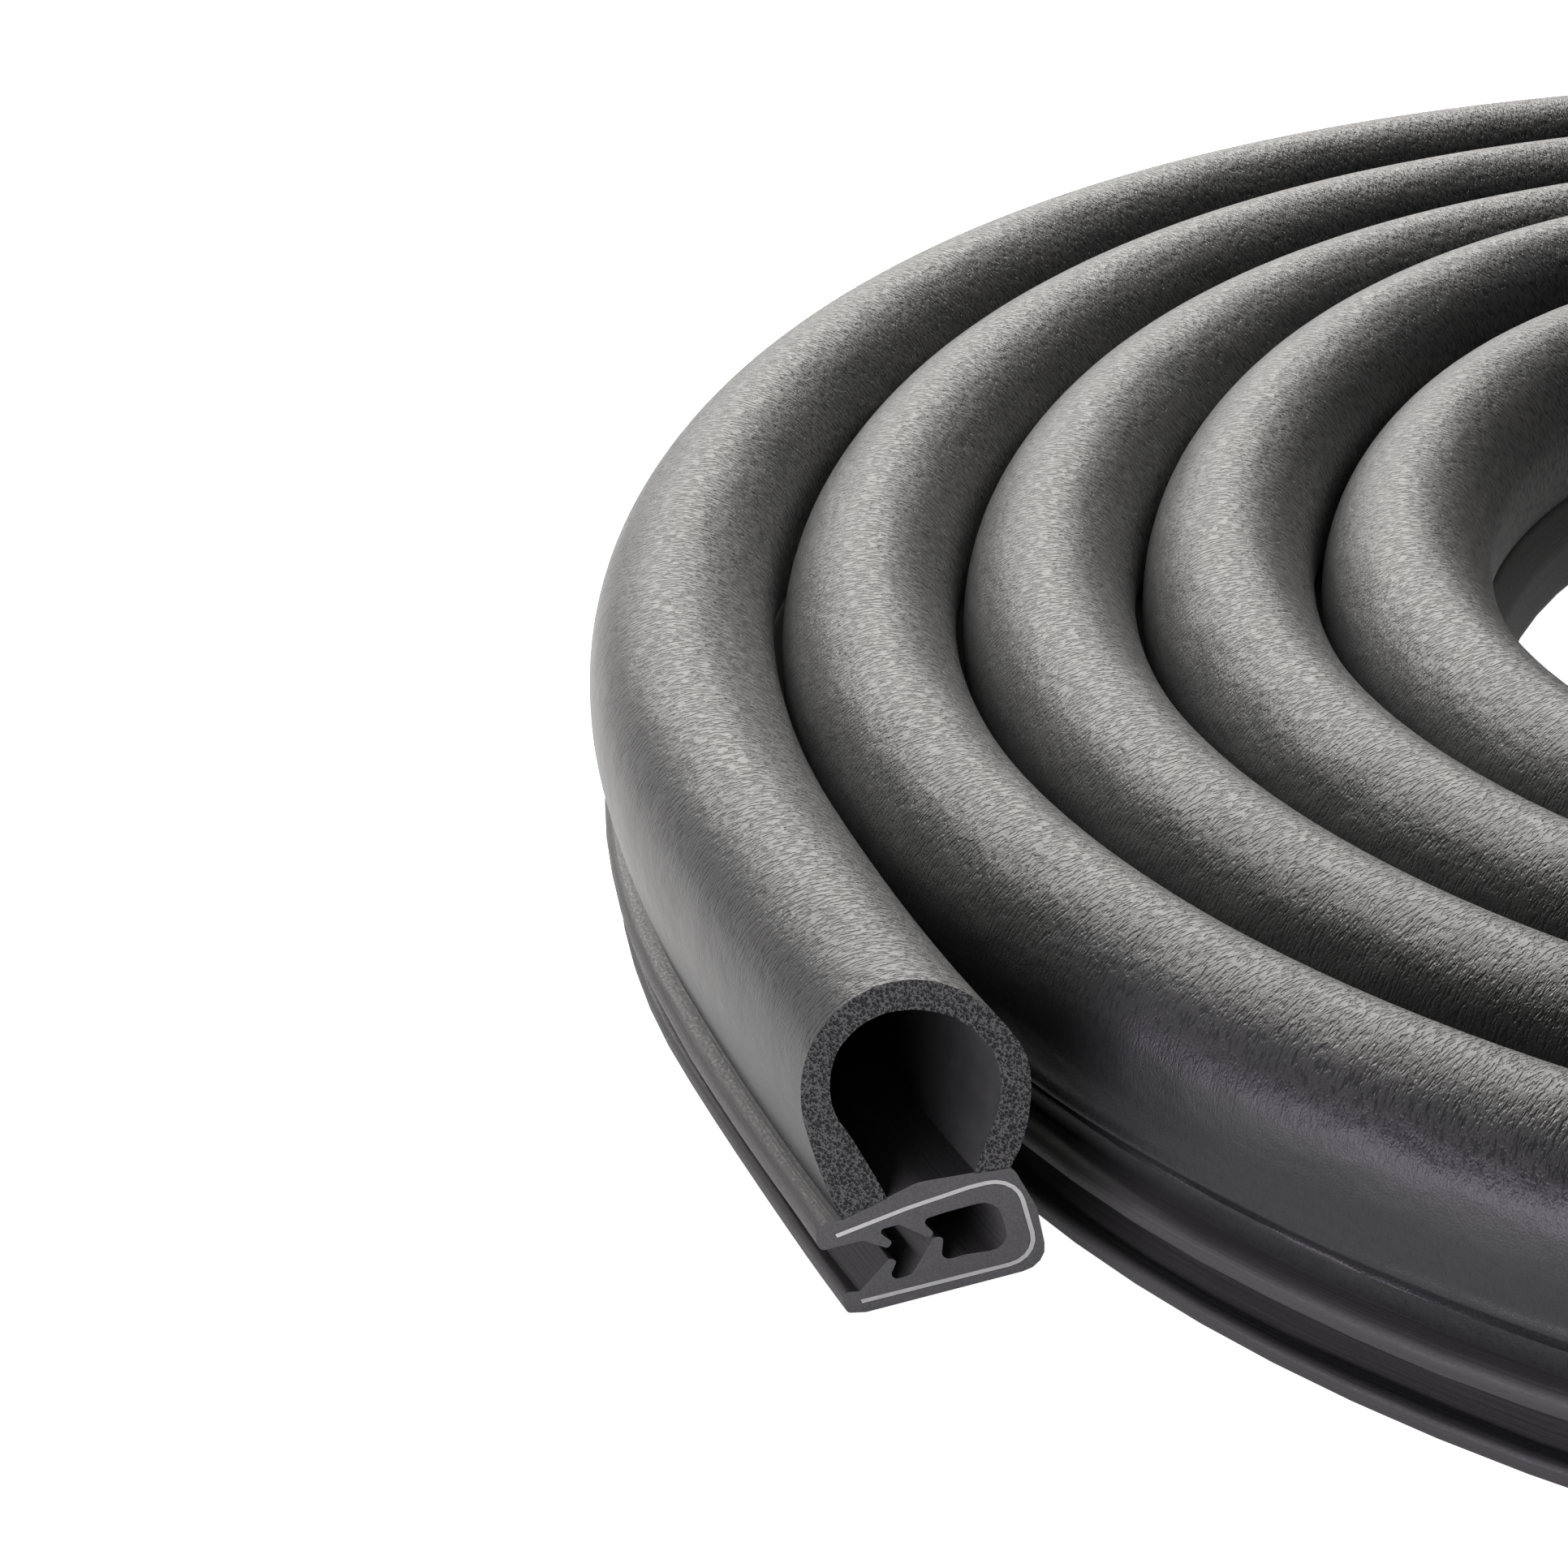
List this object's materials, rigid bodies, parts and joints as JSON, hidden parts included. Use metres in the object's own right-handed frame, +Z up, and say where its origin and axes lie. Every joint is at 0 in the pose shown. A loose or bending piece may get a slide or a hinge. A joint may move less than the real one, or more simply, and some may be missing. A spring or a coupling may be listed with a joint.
{
  "type": "edge trim seal",
  "caption": "Coiled edge trim with a hollow sponge bulb that seals and a rubber channel with a metal core that grips a panel edge.",
  "frame": {"origin": "on the floor, below the middle of the coil's box", "axes": "+Z up, square to the coil; the bulb is on top and the channel's mouth faces outwards; the free outer end points towards -Y on the -X side"},
  "size_m": [0.2925, 0.2846, 0.0289],
  "materials": {
    "sponge_rubber": "closed matt skin with fine cross wrinkles, open pores on the cut face",
    "dense_rubber": "smooth extruded, satin, with fine lines along the strip",
    "core_metal": "bare cut edge of thin rolled strip"
  },
  "bodies": {
    "root": {"sponge_bulb": "sponge_rubber", "rubber_carrier": "dense_rubber", "metal_core": "core_metal"}
  },
  "joints": []
}
